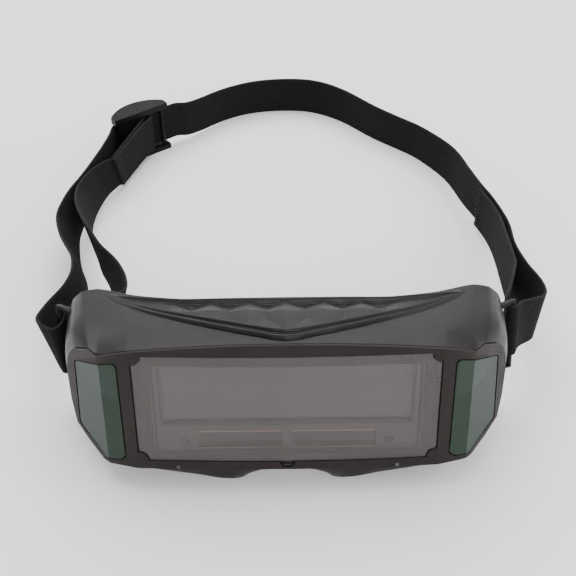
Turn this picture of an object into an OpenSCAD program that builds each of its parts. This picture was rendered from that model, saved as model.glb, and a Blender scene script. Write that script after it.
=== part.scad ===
// Wide-view welding goggles with a self-darkening filter and an elastic head strap.
// The goggles stand on their cheeks, leaning back, with the strap on edge behind them.

/* [Stance] */
// Backward lean of the front face when the goggles stand on a table
lean = 12; // [10:0.5:14]
// Height of the viewing window's centre above the table
lens_height = 43; // [43:0.1:44]

/* [Front] */
// Width of the clear cover lens
lens_w = 130; // [126:1:131]
// Height of the clear cover lens
lens_h = 53; // [50:1:53]
// Forward bow of the cover lens over its width
lens_bow = 2.4; // [1.5:0.1:3]
// Radius of the notch in each corner of the cover lens
lens_notch = 4.4; // [3:0.1:5]
// Thickness of the cover lens
lens_t = 1.2; // [1:0.1:1.5]
// Thickness of the bezel plate
bezel_t = 3.2; // [3:0.1:3.4]
// Thickness of the green side windows
window_t = 1.6; // [1.2:0.1:1.8]

/* [Frame] */
// Wall thickness of the moulded frame
wall = 2.2; // [2:0.1:2.4]
// Radius of the post that each strap end wraps
post_r = 1.6; // [1.4:0.1:1.7]

/* [Filter cartridge] */
// Width of the filter cartridge
case_w = 120; // [118:1:121]
// Width of the darkening window
cell_w = 112; // [100:1:113]
// Height of the darkening window
cell_h = 33; // [30:1:34]
// Length of each solar cell
solar_w = 36.4; // [30:0.1:37]
// Height of each solar cell
solar_h = 9.2; // [8:0.1:9.5]

/* [Strap] */
// Width of the elastic strap
strap_w = 25; // [24:0.5:25]
// Thickness of the elastic strap
strap_t = 1.3; // [1:0.1:1.4]
// Length of the strap slider
slider_l = 39; // [37:1:39]

/* [Hidden] */
$fn = 48;

fit = 0.15;                 // gap between fixed parts
lens_y = -160.6;            // viewing window's centre, so that the whole part is centred
strap_y = -160;             // datum of the strap's route
half_lens = lens_w / 2;
bow_edge = 66;              // where the bowed middle of the front ends
ridge_x = 79;               // vertical ridge of each side window
ridge_y = 4;                // depth of that ridge
wing_slope = 16 / 17;       // outward wing: depth gained per millimetre of width

// ---- Placing -------------------------------------------------------------------------
// Goggle parts are drawn upright around the viewing window's centre: X right, Y towards
// the face, Z up. Strap parts are drawn with Z from the table.
module on_face() { translate([0, lens_y, lens_height]) rotate([-lean, 0, 0]) children(); }
module on_table() { translate([0, strap_y, 0]) children(); }
module both_sides() { children(); mirror([1, 0, 0]) children(); }
// Extrude a front-view outline from depth y0 to y1.
module slab(y0, y1) { translate([0, y1, 0]) rotate([90, 0, 0]) linear_extrude(y1 - y0) children(); }
module rounded(w, h, r) {
    hull() for (x = [-1, 1], z = [-1, 1]) translate([x * (w / 2 - r), z * (h / 2 - r)]) circle(r);
}

// ---- Plan of the front ---------------------------------------------------------------
function front_y(x) =
    let (a = abs(x))
    a < bow_edge ? -lens_bow * (1 - pow(a / bow_edge, 2))
    : a < ridge_x ? ridge_y * (a - bow_edge) / (ridge_x - bow_edge)
    : ridge_y + (a - ridge_x) * wing_slope;
// A wall that follows the front's plan, from x0 to x1 and from depth a to depth b.
module front_wall(x0, x1, a, b, z0 = -60, z1 = 60, steps = 24) {
    xs = [for (i = [0 : steps]) x0 + (x1 - x0) * i / steps];
    inner = [for (x = xs) [x, front_y(x) + a]];
    outer = [for (i = [steps : -1 : 0]) [xs[i], front_y(xs[i]) + b]];
    translate([0, 0, z0]) linear_extrude(z1 - z0) polygon(concat(inner, outer));
}

// ---- Main frame ----------------------------------------------------------------------
// Depth at which the frame's rim meets the back of the bezel.
function seat_y(x) = front_y(x) + 1.2;
// Right half of three outlines, from the nose round to the brow: [x, depth, z].
// The front outline's depth is counted from the seat.
front_half = [for (p = [[0, 0, -32.3], [12, 0.3, -32.8], [17, 1.8, -35.8], [20.5, 4.2, -40],
    [24, 6.2, -42.1], [30, 6.2, -41.9], [40, 4.2, -38.4], [52, 2, -35], [66, 1.2, -32.4],
    [77, 0, -31.4], [82, 0, -31.1], [89, 0, -25.6], [94.8, 0, -19.6], [96.4, 0, -8],
    [96.8, 0, 6], [95.6, 0, 14.4], [91, 0, 20.9], [83.5, 0, 24.9], [80, 0, 24],
    [66.5, 0, 28.2], [65.5, 0, 28.4], [45, 0, 30.6], [22, 0, 32.1], [0, 0, 32.5]])
    [p[0], seat_y(p[0]) + p[1], p[2]]];
mid_half = [[0, 16, -31.2], [12, 16, -31.5], [17, 15.5, -34], [20.5, 14.5, -38.5],
    [25, 12.5, -41.9], [33, 13, -41.9], [43, 15.5, -39.6], [56, 17, -37.4], [69, 19, -35.6],
    [80, 20, -33.6], [88, 24, -28.5], [94, 28, -21.5], [97.4, 30, -12], [98.8, 31, 0],
    [99.2, 31, 10], [97.8, 30, 18.5], [94, 28, 25], [88.5, 25, 28.2], [80, 21, 29.2],
    [67.5, 17.2, 30.4], [66, 17, 30.5], [46, 16, 32], [23, 15, 33], [0, 15, 33.2]];
rear_half = [[0, 34, -14], [10, 34.5, -15.5], [18, 35.5, -20], [24, 37, -27],
    [31, 39.5, -32.8], [40, 42, -35], [52, 44.5, -34.6], [63, 46.5, -34.1], [74, 48, -33.3],
    [84, 49.5, -31.5], [92, 50.5, -27], [97, 51, -20.5], [99.6, 51, -11], [100.6, 51, 1],
    [100.8, 51, 12], [99.9, 51, 20], [97.6, 50.8, 26.3], [93, 50.3, 30.4], [86, 49.4, 32.2],
    [71, 45, 31.6], [69, 44.4, 31.5], [47, 40.4, 31.4], [24, 40, 31.8], [0, 40, 31.9]];
// Lowest Z of the opening that the bezel's plug fits.
plug_bottom = -28.9;

// The whole loop from its right half.
function loop_of(half) = let (n = len(half)) concat(
    half, [for (i = [n - 2 : -1 : 1]) [-half[i][0], half[i][1], half[i][2]]]);
function unit(v) = v / norm(v);
// Move an outline inwards by t, within its front view.
function inset(ring, t, dy) = let (n = len(ring)) [for (i = [0 : n - 1])
    let (a = ring[(i + n - 1) % n], b = ring[(i + 1) % n], d = unit([b[0] - a[0], b[2] - a[2]]))
    [ring[i][0] - t * d[1], ring[i][1] + dy, ring[i][2] + t * d[0]]];
function plug_ring(ring, dy) = [for (p = inset(ring, wall, 0))
    [p[0], seat_y(p[0]) + dy, max(p[2], plug_bottom)]];
// A closed skin through rings that run round and back to the first one.
module ring_skin(rings) {
    m = len(rings);
    n = len(rings[0]);
    points = [for (r = rings) for (p = r) p];
    faces = [for (i = [0 : m - 1], j = [0 : n - 1])
        let (a = i * n + j, b = i * n + (j + 1) % n, c = ((i + 1) % m) * n + (j + 1) % n,
             d = ((i + 1) % m) * n + j) each [[a, b, c], [a, c, d]]];
    polyhedron(points, faces);
}
post_x = 105;               // strap post: its middle, its backward tilt and its free length
post_y = 50.4;
post_z = 5.6;
post_tilt = 8;
post_l = 31.4;
arm_t = 1.6;
arm_x = 97.5;               // inside the frame's side wall, where the arms start

module main_frame() color([0.16, 0.15, 0.155]) on_face() {
    front = loop_of(front_half);
    mid = loop_of(mid_half);
    rear = loop_of(rear_half);
    difference() {
        ring_skin([front, mid, rear, inset(rear, wall, 0), inset(mid, wall, 0),
                   inset(front, wall, wall), plug_ring(front, wall), plug_ring(front, 0)]);
        // flats that it stands on
        rotate([lean, 0, 0]) translate([-150, -50, -lens_height - 20])
            cube([300, 200, 20]);
        // room for the bezel, its plug and its well
        front_wall(-66, 66, -8, 1.2);
        both_sides() {
            front_wall(66, 99, -8, 1.2, steps = 33);
            intersection() {
                front_wall(66, 99, -8, bezel_t, steps = 33);
                slab(-10, 40) {
                    wing_plug_outline(0.15);
                    window_outline(0.3);
                }
            }
        }
        intersection() {
            front_wall(-68.2, 68.2, -8, bezel_t + 0.2);
            slab(-10, 30) plug_outline(0.15);
        }
        slab(-8, well_back + 0.2) well_outline(well_wall + 0.15);
        // vents beside the nose
        both_sides() for (x = [25, 30, 35]) translate([x, -2, -37]) cube([3, 14, 1.3]);
        for (x = [-screw_x, screw_x]) translate([x, -3, screw_z]) rotate([-90, 0, 0])
            cylinder(r = screw_r + 0.05, h = 9);
    }
    both_sides() translate([0, post_y, post_z]) rotate([-post_tilt, 0, 0]) {
        translate([post_x, 0, -post_l / 2]) cylinder(r = post_r, h = post_l);
        // the upper arm reaches forwards to the wall, the lower one straight inwards
        for (arm = [[post_l / 2, -9], [-post_l / 2 - arm_t, -4.5]]) hull() {
            translate([post_x, 0, arm[0]]) cylinder(r = post_r + 0.4, h = arm_t);
            translate([arm_x, arm[1], arm[0]]) cube([1.4, 5.5, arm_t]);
        }
    }
}

// ---- Bezel -----------------------------------------------------------------------------
bezel_half = [[0, -30.8], [20, -31], [50, -31], [66, -31.2], [77, -31.2], [82, -30.9],
    [89, -25.4], [94.8, -19.5], [96.4, -8], [96.8, 6], [95.6, 14.4], [91, 20.9],
    [83.5, 24.9], [80, 24], [65.5, 28.4], [45, 30.6], [22, 32.1], [0, 32.5]];
module mirrored_outline(half) {
    n = len(half);
    polygon(concat(half, [for (i = [n - 2 : -1 : 1]) [-half[i][0], half[i][1]]]));
}
// The thick part of the wings fits inside the frame's wall.
module wing_plug_outline(grow) offset(delta = grow - wall - 0.4) mirrored_outline(bezel_half);
module lens_outline(gap) difference() {
    square([lens_w + 2 * gap, lens_h + 2 * gap], center = true);
    for (x = [-1, 1], z = [-1, 1])
        translate([x * half_lens, z * lens_h / 2]) circle(lens_notch - gap);
}
// Front view of the right side window; gap widens it.
module window_outline(gap) offset(r = 2) offset(delta = gap - 2)
    polygon([[70.8, -26], [71, 22.2], [78.7, 20.5], [91.8, 15.1], [93.2, -18.6], [80.3, -29],
             [73.5, -28.3]]);
well_w = case_w + 1;        // inside of the well that holds the cartridge
well_z0 = -27.3;
well_z1 = 23;
well_wall = 1.4;
well_back = 16;
opening_w = case_w - 3;     // opening in front of the cartridge; its gasket seats on the lip round it
opening_z0 = -24.4;
opening_z1 = 21;
module plug_outline(grow) translate([-68 - grow, -28.5 - grow]) square([136 + 2 * grow, 53.9 + 2 * grow]);
module well_outline(grow) translate([-(well_w / 2 + grow), well_z0 - grow])
    square([well_w + 2 * grow, well_z1 - well_z0 + 2 * grow]);
screw_x = 48;
screw_z = -30;
screw_r = 0.6;

module front_bezel() color([0.13, 0.105, 0.1]) on_face() difference() {
    union() {
        // thin edge that covers the frame's rim
        intersection() {
            union() {
                front_wall(-66, 66, 0, 1.1);
                both_sides() front_wall(66, 97, 0, 1.1, steps = 31);
            }
            slab(-10, 30) mirrored_outline(bezel_half);
        }
        // thicker wings round the side windows
        both_sides() intersection() {
            front_wall(66, 97, 0, bezel_t - 0.1, steps = 31);
            slab(-10, 30) wing_plug_outline(0);
        }
        // plug inside the frame, and the well behind it
        intersection() {
            front_wall(-68, 68, 0, bezel_t);
            slab(-10, 30) plug_outline(0);
        }
        slab(1.5, well_back) well_outline(well_wall);
    }
    // rebate and opening for the cover lens
    intersection() {
        front_wall(-66, 66, -3, lens_t + 0.4);
        slab(-10, 30) lens_outline(0.25);
    }
    slab(-10, bezel_t) translate([-opening_w / 2, opening_z0]) square([opening_w, opening_z1 - opening_z0]);
    slab(bezel_t - 0.1, 30) well_outline(0);
    // finger notch under the lens
    slab(-10, -1) translate([0, -lens_h / 2]) circle(3.4);
    // rebates and openings for the side windows
    both_sides() {
        intersection() {
            front_wall(67, 97, -3, window_t + fit, steps = 30);
            slab(-10, 30) window_outline(fit);
        }
        slab(-10, 40) window_outline(-1.8);
    }
    for (x = [-screw_x, screw_x]) translate([x, -3, screw_z]) rotate([-90, 0, 0]) {
        cylinder(r = screw_r + 0.05, h = 20);
        cylinder(r = 0.95, h = 2.3);
    }
}
module bezel_screws() color("silver") on_face()
    for (x = [-screw_x, screw_x]) translate([x, -3, screw_z]) rotate([-90, 0, 0]) {
        translate([0, 0, 1.7]) cylinder(r = 0.9, h = 0.6);
        translate([0, 0, 2.2]) cylinder(r = screw_r, h = 3.8);
    }

module cover_lens() color([0.75, 0.75, 0.78, 0.4]) on_face() intersection() {
    front_wall(-66, 66, 0.1, 0.1 + lens_t);
    slab(-10, 10) lens_outline(0);
}
module side_window() on_face() intersection() {
    front_wall(67, 97, 0, window_t, steps = 30);
    slab(-10, 40) window_outline(0);
}
module side_window_right() color([0.1, 0.3, 0.18, 0.8]) side_window();
module side_window_left() color([0.1, 0.3, 0.18, 0.8]) mirror([1, 0, 0]) side_window();

// ---- Filter cartridge --------------------------------------------------------------------
case_z0 = -27;
case_z1 = 22.5;
case_h = case_z1 - case_z0;
case_mid = (case_z0 + case_z1) / 2;
gasket_y = bezel_t + 0.05;
case_y = gasket_y + 1.2;    // front face of the cartridge
case_split = case_y + 4.6;
case_end = case_split + 4;
cell_z = 3.5;               // centre height of the darkening window
solar_z = -19.6;
solar_x = 20.6;
sensor_x = 44.6;
sensor_z = -20.4;
board_y = case_y + 2.6;

module case_outline(grow = 0) translate([0, case_mid]) rounded(case_w + 2 * grow, case_h + 2 * grow, 2.5);
module filter_gasket() color([0.1, 0.1, 0.1]) on_face() slab(gasket_y, case_y - 0.05) difference() {
    case_outline(0);
    translate([0, case_mid + 0.2]) square([117, 47], center = true);
}
module filter_case_front() color([0.12, 0.12, 0.125]) on_face() difference() {
    slab(case_y, case_split) case_outline();
    // window, its recessed rim and the pockets behind the face
    slab(0, 30) translate([0, cell_z]) square([cell_w - 4, cell_h - 4], center = true);
    slab(case_y + 2, 30) translate([0, cell_z]) square([cell_w + 0.4, cell_h + 0.4], center = true);
    slab(case_y + 2.4, 30) translate([0, -20]) square([116, 12.4], center = true);
    for (s = [-1, 1]) {
        slab(0, case_y + 0.75) translate([s * solar_x, solar_z]) square([solar_w + 0.2, solar_h + 0.2], center = true);
        translate([s * sensor_x, case_y - 1, sensor_z]) rotate([-90, 0, 0]) cylinder(r = 2.05, h = 6);
    }
}
module filter_case_rear() color([0.12, 0.12, 0.125]) on_face() difference() {
    slab(case_split + 0.05, case_end) case_outline();
    slab(0, 30) translate([0, cell_z]) square([cell_w - 4, cell_h - 4], center = true);
    slab(0, case_split + 1.5) translate([0, cell_z]) square([cell_w + 0.4, cell_h + 0.4], center = true);
    slab(0, case_split + 2.6) translate([0, -20]) square([116, 12.4], center = true);
}
module pane(y0, t) slab(y0, y0 + t) translate([0, cell_z]) square([cell_w, cell_h], center = true);
module infrared_filter() color([0.25, 0.4, 0.3, 0.7]) on_face() pane(case_y + 2.1, 1.1);
module shutter_cell_front() color([0.15, 0.15, 0.18]) on_face() pane(case_y + 3.3, 1.2);
module shutter_cell_rear() color([0.15, 0.15, 0.18]) on_face() pane(case_y + 4.6, 1.2);
module circuit_board() color([0.05, 0.3, 0.12]) on_face() slab(board_y, board_y + 0.8)
    translate([0, -20]) square([115, 11.6], center = true);
module solar_cell(s) on_face() slab(case_y + 0.1, case_y + 0.7)
    translate([s * solar_x, solar_z]) square([solar_w, solar_h], center = true);
module solar_cell_left() color([0.1, 0.05, 0.06]) solar_cell(-1);
module solar_cell_right() color([0.1, 0.05, 0.06]) solar_cell(1);
module light_sensor(s) on_face() translate([s * sensor_x, case_y + 0.2, sensor_z])
    rotate([-90, 0, 0]) cylinder(r = 2, h = 2.3);
module light_sensor_left() color([0.5, 0.35, 0.35]) light_sensor(-1);
module light_sensor_right() color([0.5, 0.35, 0.35]) light_sensor(1);
module battery(s) on_face() translate([s * 30, board_y + 0.9, -20])
    rotate([-90, 0, 0]) cylinder(d = 11.4, h = 2.5);
module battery_left() color("silver") battery(-1);
module battery_right() color("silver") battery(1);

// ---- Inner cover lens and its retainer ---------------------------------------------------
inner_y = case_end + 0.1;
module inner_cover_lens() color([0.8, 0.8, 0.82, 0.4]) on_face()
    slab(inner_y, inner_y + 1) translate([0, cell_z]) rounded(115, 37, 1.5);
retainer_z0 = -17.5;        // lower edge of the retainer, above the nose arch behind it
retainer_h = case_z1 + 0.2 - retainer_z0;
module lens_retainer() color([0.1, 0.1, 0.1]) on_face() difference() {
    slab(inner_y, inner_y + 2.4) translate([0, retainer_z0 + retainer_h / 2])
        square([case_w + 0.4, retainer_h], center = true);
    slab(0, inner_y + 1.1) translate([0, cell_z]) rounded(115.4, 37.4, 1.6);
    slab(0, 40) translate([0, cell_z]) square([109, 30], center = true);
    // grips for pulling it out
    for (s = [-1, 1]) slab(inner_y + 1.2, 40) translate([s * 30, retainer_z0]) square([12, 2.4], center = true);
}

// ---- Strap -------------------------------------------------------------------------------
// Each station: [x, distance behind the datum, height of the lower edge,
// and how far the upper edge leans in x and in y].
slider_at = [-93, 274];     // where the strap passes the slider's middle
slider_dir = 37;            // direction of the strap through the slider
slider_h = 3.8;             // height of the strap's lower edge in the slider
function along(s, n = 0) = [slider_at[0] + s * cos(slider_dir) + n * sin(slider_dir),
                            slider_at[1] + s * sin(slider_dir) - n * cos(slider_dir)];
function station(p, h, lx = 0, ly = 0) = [p[0], p[1], h, lx, ly];
// Where the strap's lower edge meets the tilted post.
strap_tilt = lean + post_tilt;
half_strap = strap_w / 2;
strap_mid_z = 8.4;          // the strap sits high on the post
strap_mid_y = post_y + (strap_mid_z - post_z) * tan(post_tilt);
post_h = lens_height - sin(lean) * strap_mid_y + cos(lean) * strap_mid_z
    - half_strap * cos(strap_tilt);
post_at = [post_x, lens_y - strap_y + cos(lean) * strap_mid_y + sin(lean) * strap_mid_z
    - half_strap * sin(strap_tilt)];
tilt_y = strap_w * sin(strap_tilt);
wrap_r = post_r + 0.2 + strap_t / 2;
// Round the right post, from angle a0 to a1.
function wrap(a0, a1, n) = [for (i = [0 : n]) let (a = a0 + (a1 - a0) * i / n)
    station([post_at[0] + wrap_r * cos(a), post_at[1] + wrap_r * sin(a)], post_h, 0, tilt_y)];

// The strap is one length: from its sewn end inside the right loop, round the right post,
// behind the head, through the slider, round the left post and back to the slider's loop.
loop_stations = concat([
    [113, 181.5, 3.8, 0.8, 3], [115, 172, 5, 0.8, 3], [116.5, 160, 7, 1, 3],
    [116.8, 145, 10, 1.5, 3.5], [116.2, 130, 12.7, 1.5, 4], [115.3, 117, 15.2, 1.8, 4],
    [114.2, 103, 18.2, 2, 4.5], [113, 90, 21, 2, 4.5], [108.7, 75, 23.8, 1.7, 4.5],
    [104.7, 62, 26.2, 1.4, 5.5], [102.6, 53, 28.2, 0.5, 7.5]], wrap(190, 270, 4));
main_stations = concat(wrap(-70, -30, 2), [
    [109.5, 50.5, 27.7, 1, 7.5], [113, 55.5, 25.2, 2.5, 6], [120.5, 64, 22, 4, 5],
    [121.3, 80, 18.2, 5, 3.5], [118.2, 99.5, 14.5, 5, 2.5], [118, 120.5, 11.5, 3.2, 2],
    [119.2, 144, 8.5, 3.3, 1], [118.4, 171, 6, 0.4, 0.5], [115, 187, 4, 0.4, 0.5],
    [109.5, 206.5, 2.5, 2, 0.5], [102.7, 235, 1, 2.5, -0.5], [88, 260.5, 0.5, 1, -1],
    [76, 274, 0.1, 0, -1], [60, 289, 0.1, 0, 0], [39.5, 312, 0.1, 0.5, 0.5],
    [19, 325, 0.1, 0.8, 0.8], [-4, 327.5, 0.1, 0.5, 0.5], [-25, 323.5, 0.3, 0.5, 0],
    [-43, 313.5, 0.5, 0.3, 0], [-58, 299.5, 1.2, 0, 0], [-66.5, 292, 2.4, 0, 0]],
    [for (s = [25, 15, 5, -5, -19.5]) station(along(s), slider_h)]);
outer_stations = [[-110.6, 258, 3.8, 0, 0], [-111, 249, 3.7, -0.5, -0.5],
    [-113, 231.5, 3.5, -2.5, -2], [-116.5, 210, 3.5, -5, -3],
    [-119.3, 192.5, 5, -7.3, -4], [-120.3, 174, 6.5, -8.8, -4.5], [-119.3, 162, 8, -8.8, -5.5],
    [-116, 145, 10, -7, -5.5], [-112.5, 132, 12, -5, -5.5], [-107, 116.5, 14.5, -4, -4.5],
    [-104.5, 100.5, 16.5, -4, -4], [-105.5, 85, 18.5, -4.5, -2.5], [-109, 71, 20.5, -5, -1.5],
    [-112, 57.5, 22.4, -4.5, 0], [-109.4, 50, 24.2, -6.5, 2], [-106.8, 43.8, 25.6, -6.3, 4],
    [-104.8, 40.4, 25.9, -4.5, 4.5], [-103.5, 38.9, 26, -3, 4.5]];
inner_stations = [[-102.3, 40.4, 26.2, -1.5, 5.2], [-102.1, 44, 26.4, -0.6, 6],
    [-102, 49, 26.6, 0, 7], [-99.3, 55.5, 26.4, 0, 6.5], [-93.5, 60.5, 25.6, 1.5, 5],
    [-87.5, 66.5, 24, 4, 3], [-84.5, 76, 21.7, 6.5, 0.5], [-86, 88, 19.7, 7, -1],
    [-89.5, 100.5, 17.7, 6.5, -2], [-94, 114, 15.7, 5, -4], [-100, 128, 13.5, 2.5, -5.5],
    [-105, 143.5, 11, 0, -6], [-110.5, 159, 9, -2.5, -5.5], [-114, 176, 7.5, -6, -4],
    [-114.5, 193, 5.5, -8, -3.5], [-113, 206.5, 4.5, -7.5, -4.5],
    [-110.5, 219, 3.5, -6, -5.5], [-105.6, 230, 3, -4, -7]];
strap_route = concat(loop_stations, main_stations, outer_stations, inner_stations);
loop_end = len(loop_stations) - 1;
main_end = loop_end + len(main_stations);
outer_end = main_end + len(outer_stations);
inner_end = outer_end + len(inner_stations);

function lerp_spline(a, b, c, d, t) = 0.5 * ((2 * b) + (c - a) * t
    + (2 * a - 5 * b + 4 * c - d) * t * t + (3 * b - a - 3 * c + d) * t * t * t);
function smooth(p, n) = let (m = len(p)) concat([for (i = [0 : m - 2], k = [0 : n - 1])
    lerp_spline(p[max(i - 1, 0)], p[i], p[i + 1], p[min(i + 2, m - 1)], k / n)], [p[m - 1]]);
function lower_edge(s) = [s[0], s[1], s[2]];
function upper_edge(s) = [s[0] + s[3], s[1] + s[4],
    s[2] + sqrt(strap_w * strap_w - s[3] * s[3] - s[4] * s[4])];
function cross3(a, b) = [a[1] * b[2] - a[2] * b[1], a[2] * b[0] - a[0] * b[2], a[0] * b[1] - a[1] * b[0]];
// A band of webbing on edge along a route, between two of its stations.
module webbing(route, first, last, n = 4) {
    s = smooth(route, n);
    m = len(s);
    points = [for (i = [first * n : last * n])
        let (tangent = lower_edge(s[min(i + 1, m - 1)]) - lower_edge(s[max(i - 1, 0)]),
             low = lower_edge(s[i]), high = upper_edge(s[i]),
             side = unit(cross3(tangent, high - low)) * strap_t / 2)
        each [low - side, low + side, high + side, high - side]];
    count = len(points) / 4;
    end = 4 * count - 4;
    faces = concat([[2, 1, 0], [3, 2, 0]],
        [for (i = [0 : count - 2], j = [0 : 3])
            let (a = 4 * i + j, b = 4 * i + (j + 1) % 4) each [[a, b, a + 4], [b, b + 4, a + 4]]],
        [[end, end + 1, end + 2], [end, end + 2, end + 3]]);
    polyhedron(points, faces);
}
module strap_right_loop() color([0.09, 0.085, 0.09]) on_table() webbing(strap_route, 0, loop_end);
module strap_main_band() color([0.09, 0.085, 0.09]) on_table() webbing(strap_route, loop_end, main_end);
module strap_outer_run() color([0.09, 0.085, 0.09]) on_table() webbing(strap_route, main_end, outer_end);
module strap_inner_run() color([0.09, 0.085, 0.09]) on_table() webbing(strap_route, outer_end, inner_end);

// ---- Slider ------------------------------------------------------------------------------
bar_r = 1.2;
foot_t = 3.3;               // thickness of the lower rail
rail_t = 4;                 // thickness of the upper rail
rail_z = slider_h + strap_w + 1.2;
end_bar_n = strap_t / 2 + 0.35 + bar_r;
loop_r = bar_r + 0.15 + strap_t / 2;
loop_bar_n = strap_t / 2 + 0.35 + loop_r + strap_t / 2;
loop_bar = along(2, loop_bar_n);
slider_mid = -3;            // middle of the slider along the strap
end_bar = slider_l / 2 - 3.5;// from the slider's middle to each end bar
rail_near = 5;              // depth of each rail, on the loop's side and on the other
rail_far = 9;
arch_r = 26;                // arch of the rail's outer edge
module rail() translate(slider_at) rotate(slider_dir) intersection() {
    translate([slider_mid, rail_far - arch_r]) circle(arch_r, $fn = 96);
    translate([slider_mid - slider_l / 2, -rail_near]) square([slider_l, rail_near + rail_far]);
}
module strap_slider() color([0.07, 0.07, 0.075]) on_table() {
    linear_extrude(foot_t) rail();
    translate([0, 0, rail_z]) linear_extrude(rail_t) rail();
    for (at = [along(slider_mid - end_bar, end_bar_n), along(slider_mid + end_bar, end_bar_n), loop_bar])
        translate([at[0], at[1], foot_t - 1]) cylinder(r = bar_r, h = rail_z + 2 - foot_t);
}

// The strap's sewn end: round the slider's middle bar and back on itself.
loop_dir = 250.3;           // direction in which it leaves the bar
loop_len = 43.5;
loop_straight = 13;         // length over which it stays upright
loop_drop = 1.5;            // how far the sewn end sinks
loop_rake = 7.5;            // how far its upper edge leans along the strap there
function loop_point(d, e) = [loop_bar[0] + d * cos(loop_dir) - e * sin(loop_dir),
                             loop_bar[1] + d * sin(loop_dir) + e * cos(loop_dir)];
sewn_gap = strap_t / 2 + 0.1;
function loop_station(d, e) =
    let (t = max(0, d - loop_straight) / (loop_len - loop_straight), rake = loop_rake * t)
    station(loop_point(d, e), slider_h - loop_drop * t, rake * cos(loop_dir), rake * sin(loop_dir));
loop_route = concat(
    [for (d = [loop_len, 33, 23, 13]) loop_station(d, sewn_gap + (loop_len - d) * 0.012)],
    [loop_station(4, loop_r)],
    [for (a = [90 : -30 : -90]) loop_station(-loop_r * cos(a), loop_r * sin(a))],
    [loop_station(4, -loop_r)],
    [for (d = [13, 23, 33, loop_len]) loop_station(d, -sewn_gap - (loop_len - d) * 0.012)]);
module strap_slider_loop() color([0.09, 0.085, 0.09]) on_table() webbing(loop_route, 0, len(loop_route) - 1, 3);

// ---- Stitching ---------------------------------------------------------------------------
// Rows of thread that lie on the face of the webbing, across the strap.
module thread_rows(route_a, route_b, side) {
    for (k = [0.25, 0.75]) {
        p = route_a * (1 - k) + route_b * k;
        tangent = route_b - route_a;
        normal = unit([tangent[1], -tangent[0], 0]) * side;
        low = lower_edge(p);
        high = upper_edge(p);
        points = [for (f = [0.1, 0.9], w = [-0.4, 0.4], d = [0.05, 0.35])
            low + (high - low) * f + unit([tangent[0], tangent[1], 0]) * w
            + normal * (strap_t / 2 + d)];
        polyhedron(points, [[2, 3, 1, 0], [5, 7, 6, 4], [1, 5, 4, 0], [6, 7, 3, 2], [4, 6, 2, 0], [3, 7, 5, 1]]);
    }
}
module strap_stitching_left() color([0.12, 0.12, 0.12]) on_table()
    thread_rows(loop_station(loop_len - 6, sewn_gap + 0.08), loop_station(loop_len - 1, sewn_gap), -1);
module strap_stitching_right() color([0.12, 0.12, 0.12]) on_table()
    thread_rows([114.1, 176.5, 4.4, 0.8, 3], [113.2, 180.5, 4, 0.8, 3], -1);

main_frame();
front_bezel();
bezel_screws();
cover_lens();
side_window_left();
side_window_right();
filter_gasket();
filter_case_front();
filter_case_rear();
infrared_filter();
shutter_cell_front();
shutter_cell_rear();
circuit_board();
solar_cell_left();
solar_cell_right();
light_sensor_left();
light_sensor_right();
battery_left();
battery_right();
lens_retainer();
inner_cover_lens();
strap_main_band();
strap_right_loop();
strap_outer_run();
strap_inner_run();
strap_slider();
strap_slider_loop();
strap_stitching_left();
strap_stitching_right();
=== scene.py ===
import math
import bmesh
import bpy
import numpy as np
from mathutils import Matrix, Vector


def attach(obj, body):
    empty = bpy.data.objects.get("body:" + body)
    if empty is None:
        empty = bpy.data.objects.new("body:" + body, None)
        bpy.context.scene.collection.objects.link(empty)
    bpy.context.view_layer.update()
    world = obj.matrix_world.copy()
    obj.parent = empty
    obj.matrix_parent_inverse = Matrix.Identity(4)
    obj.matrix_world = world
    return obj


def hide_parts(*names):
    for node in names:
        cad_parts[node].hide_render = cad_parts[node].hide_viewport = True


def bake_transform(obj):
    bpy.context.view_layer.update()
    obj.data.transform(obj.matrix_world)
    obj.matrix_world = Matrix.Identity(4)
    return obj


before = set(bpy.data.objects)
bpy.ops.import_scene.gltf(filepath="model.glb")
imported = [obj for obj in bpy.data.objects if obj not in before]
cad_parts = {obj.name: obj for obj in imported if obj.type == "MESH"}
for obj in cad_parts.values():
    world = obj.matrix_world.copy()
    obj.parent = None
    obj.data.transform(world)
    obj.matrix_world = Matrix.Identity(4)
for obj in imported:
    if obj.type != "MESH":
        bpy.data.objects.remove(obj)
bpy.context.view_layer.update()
rng = np.random.default_rng(7)

LEAN = math.radians(12)
CL, SL = math.cos(LEAN), math.sin(LEAN)
LENS = np.array([0, -160.6, 43.0])      # viewing window's centre, mm
STRAP_Y = -160.0
WIDTH, THICK = 25.0, 1.3
MM = 0.001


def on_face(p):
    """Goggle coordinates (X, depth, up) to the shared frame, mm."""
    p = np.asarray(p, float)
    x, y, z = p[..., 0], p[..., 1], p[..., 2]
    return np.stack([x + LENS[0], y * CL + z * SL + LENS[1], -y * SL + z * CL + LENS[2]], -1)


def new_object(name, verts, faces, mat, body, node=None, smooth=True, uv=None):
    mesh = bpy.data.meshes.new(name)
    mesh.from_pydata((np.asarray(verts, float) * MM).tolist(), [], [tuple(f) for f in faces])
    mesh.materials.append(mat)
    if uv is not None:
        layer = mesh.uv_layers.new(name="lay")
        idx = np.empty(len(mesh.loops), dtype=np.int32)
        mesh.loops.foreach_get("vertex_index", idx)
        layer.data.foreach_set("uv", (np.asarray(uv, float) * MM)[idx].ravel())
    mesh.validate()
    mesh.update()
    if smooth:
        mesh.polygons.foreach_set("use_smooth", [True] * len(mesh.polygons))
    ob = bpy.data.objects.new(name, mesh)
    bpy.context.scene.collection.objects.link(ob)
    if body:
        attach(ob, body)
    if node:
        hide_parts(node)
    return ob


def fix_normals(ob):
    bm = bmesh.new()
    bm.from_mesh(ob.data)
    bmesh.ops.recalc_face_normals(bm, faces=bm.faces)
    bm.to_mesh(ob.data)
    bm.free()


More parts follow.
